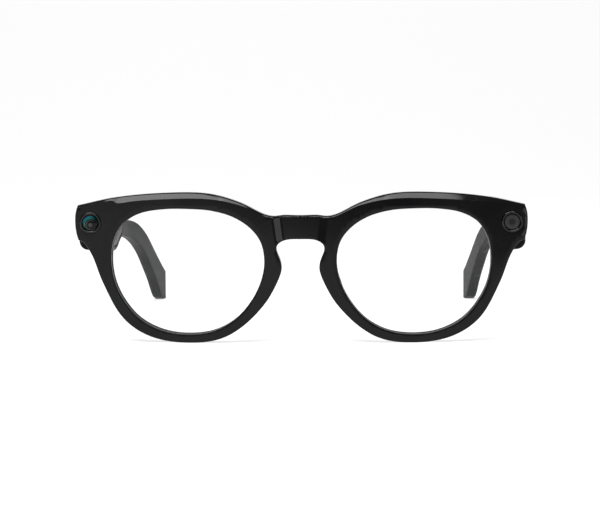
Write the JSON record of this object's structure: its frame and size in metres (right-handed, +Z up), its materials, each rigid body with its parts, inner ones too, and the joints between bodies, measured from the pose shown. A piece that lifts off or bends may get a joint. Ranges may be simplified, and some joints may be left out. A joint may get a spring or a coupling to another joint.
{
  "type": "smart glasses",
  "caption": "Full-rim smart glasses with a keyhole bridge, clear lenses, a camera and an indicator light in the end pieces, and folding temples that hold the electronics.",
  "frame": {"origin": "middle of the footprint, on the surface that the open glasses stand on, under the rims and temple tips", "axes": "+Z up; the front looks along -Y and the temples run back along +Y; +X is towards the wearer's left"},
  "size_m": [0.1498, 0.1444, 0.0492],
  "materials": {
    "gloss_black": "polished",
    "satin_black": "satin",
    "soft_black": "matte",
    "clear_lens": "anti-reflective coated",
    "coated_glass": "blue coated",
    "smoked_window": "satin translucent",
    "frosted_light": "frosted",
    "steel": "brushed",
    "gold": "plated",
    "circuit_board": "solder mask",
    "amber_flex": "polyimide film",
    "cell_foil": "satin foil"
  },
  "bodies": {
    "front": {"front_frame": "gloss_black", "left_lens": "clear_lens", "right_lens": "clear_lens", "left_nose_pad": "gloss_black", "right_nose_pad": "gloss_black", "left_endpiece_cover": "satin_black", "right_endpiece_cover": "satin_black", "left_front_hinge_leaf": "steel", "right_front_hinge_leaf": "steel", "left_hinge_screw": "steel", "right_hinge_screw": "steel", "left_charging_contact": "gold", "right_charging_contact": "gold", "nose_microphone": "soft_black", "brow_flex": "amber_flex", "brow_cover": "satin_black", "camera_bezel": "gloss_black", "camera_window": "coated_glass", "camera_barrel": "satin_black", "camera_front_element": "coated_glass", "camera_sensor_module": "circuit_board", "light_bezel": "gloss_black", "light_window": "smoked_window", "light_pipe": "frosted_light", "light_board": "circuit_board"},
    "left_temple": {"left_temple_housing": "gloss_black", "left_temple_cover": "satin_black", "left_temple_hinge_leaf": "steel", "left_core_wire": "steel", "left_speaker": "soft_black", "left_speaker_grille": "satin_black", "left_temple_microphone": "soft_black", "battery": "cell_foil", "power_board": "circuit_board", "power_switch": "soft_black"},
    "right_temple": {"right_temple_housing": "gloss_black", "right_temple_cover": "satin_black", "right_temple_hinge_leaf": "steel", "right_core_wire": "steel", "right_speaker": "soft_black", "right_speaker_grille": "satin_black", "right_temple_microphone": "soft_black", "main_board": "circuit_board", "touch_sensor": "amber_flex", "capture_switch": "soft_black"},
    "capture_button": {"capture_button": "gloss_black"},
    "power_slider": {"power_slider": "satin_black"}
  },
  "joints": [
    {"name": "left_fold", "type": "hinge", "parent": "front", "child": "left_temple", "pos_m": [0.0648, -0.0557, 0.0379], "axis": [0, 0, 1], "range_deg": [0, 90]},
    {"name": "right_fold", "type": "hinge", "parent": "front", "child": "right_temple", "pos_m": [-0.0648, -0.0557, 0.0379], "axis": [0, 0, -1], "range_deg": [0, 82]},
    {"name": "capture_press", "type": "slide", "parent": "right_temple", "child": "capture_button", "axis": [0, 0, -1], "range_m": [0, 0.0004], "stiffness_N_per_m": 600},
    {"name": "power_slide", "type": "slide", "parent": "left_temple", "child": "power_slider", "axis": [0, 1, 0], "range_m": [0, 0.002]}
  ]
}
